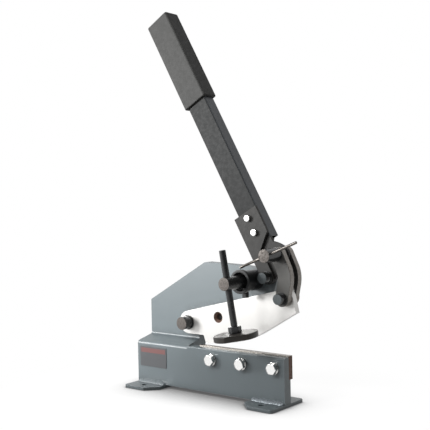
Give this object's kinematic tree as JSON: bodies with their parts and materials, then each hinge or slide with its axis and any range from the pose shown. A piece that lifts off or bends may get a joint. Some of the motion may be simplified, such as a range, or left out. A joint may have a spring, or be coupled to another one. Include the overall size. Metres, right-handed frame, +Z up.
{
  "type": "bench plate shear",
  "caption": "Hand-lever bench shear for sheet metal: offset steel frame on bolt-down feet, fixed lower blade, pivoting upper blade driven by crank and C-shaped links, and a swivelling hold-down.",
  "frame": {"origin": "on the bench, at the centre of the four bench bolts", "axes": "X runs along the blades with the lever pivot at +X, Y runs to the rear, Z is up"},
  "size_m": [0.3959, 0.1609, 0.7427],
  "materials": {
    "frame_paint": "blue-grey semi-gloss enamel",
    "weld_paint": "blue-grey enamel over rippled weld beads",
    "plate_metal": "dark anodised, no lettering",
    "ground_steel": "ground tool steel",
    "zinc_steel": "bright zinc plate",
    "bronze": "plain bearing bronze",
    "black_steel": "black oxide",
    "lever_paint": "dark warm grey satin enamel",
    "link_paint": "dark grey satin enamel with worn edges",
    "bar_steel": "plain turned steel",
    "grip_rubber": "matte black rubber sleeve"
  },
  "bodies": {
    "frame": {"frame_plate": "frame_paint", "left_foot": "frame_paint", "right_foot": "frame_paint", "left_welds": "weld_paint", "right_welds": "weld_paint", "nameplate": "plate_metal", "lower_blade": "ground_steel", "lower_blade_bolts": "zinc_steel", "lower_blade_washers": "zinc_steel", "blade_pivot_bolt": "black_steel", "blade_pivot_washers": "black_steel", "blade_pivot_nut": "black_steel", "lever_pivot_bolt": "black_steel", "lever_pivot_washers": "black_steel", "lever_pivot_nut": "black_steel", "hold_down_hub": "black_steel"},
    "blade": {"upper_blade": "ground_steel", "blade_bush": "bronze"},
    "lever": {"lever_tube": "lever_paint", "lever_grip": "grip_rubber", "front_strap": "lever_paint", "rear_strap": "lever_paint", "crank_plate": "lever_paint", "lever_bolts": "zinc_steel", "lever_nuts": "zinc_steel"},
    "links": {"front_link": "link_paint", "rear_link": "link_paint", "link_bolt": "black_steel", "link_washers": "black_steel", "link_nut": "black_steel", "clamp_screw_nut": "black_steel"},
    "clamp": {"clamp_screw": "black_steel"},
    "clamp_handle": {"clamp_bar": "bar_steel"},
    "shaft": {"hold_down_shaft": "black_steel", "shaft_ring": "bar_steel"},
    "rod": {"hold_down_rod": "black_steel", "rod_nut": "black_steel"},
    "foot": {"hold_down_foot": "black_steel"},
    "set_screw": {"hub_set_screw": "black_steel"}
  },
  "joints": [
    {"name": "lever_swing", "type": "hinge", "parent": "frame", "child": "lever", "pos_m": [0.126, 0.0275, 0.2254], "axis": [0, 1, 0], "range_deg": [0, 80]},
    {"name": "blade_swing", "type": "hinge", "parent": "frame", "child": "blade", "pos_m": [-0.064, 0.0228, 0.1295], "axis": [0, 1, 0], "range_deg": [0, 15.84]},
    {"name": "link_swing", "type": "hinge", "parent": "lever", "child": "links", "pos_m": [0.155, 0.0228, 0.26808], "axis": [0, 1, 0], "range_deg": [-68, 0]},
    {"name": "clamp_turn", "type": "hinge", "parent": "links", "child": "clamp", "pos_m": [0.155, 0.0228, 0.26808], "axis": [0, 1, 0], "range_deg": [-90, 90]},
    {"name": "bar_slide", "type": "slide", "parent": "clamp", "child": "clamp_handle", "axis": [0.9311, 0, 0.3649], "range_m": [-0.045, 0.045]},
    {"name": "shaft_turn", "type": "hinge", "parent": "frame", "child": "shaft", "pos_m": [0.091, 0, 0.219], "axis": [0, 1, 0], "range_deg": [-35, 35]},
    {"name": "rod_slide", "type": "slide", "parent": "shaft", "child": "rod", "axis": [-0.1268, -0.0628, 0.9899], "range_m": [-0.025, 0.05]},
    {"name": "foot_turn", "type": "hinge", "parent": "rod", "child": "foot", "pos_m": [0.091, -0.0555, 0.219], "axis": [-0.1268, -0.0628, 0.9899], "range_deg": [-90, 90]},
    {"name": "set_screw_turn", "type": "hinge", "parent": "frame", "child": "set_screw", "pos_m": [0.091, -0.003, 0.2], "axis": [0, 0, 1], "range_deg": [-90, 90]}
  ],
  "couplings": [
    {"joint": "blade_swing", "follows": "lever_swing", "ratio": 0.198},
    {"joint": "link_swing", "follows": "lever_swing", "ratio": -0.85}
  ]
}
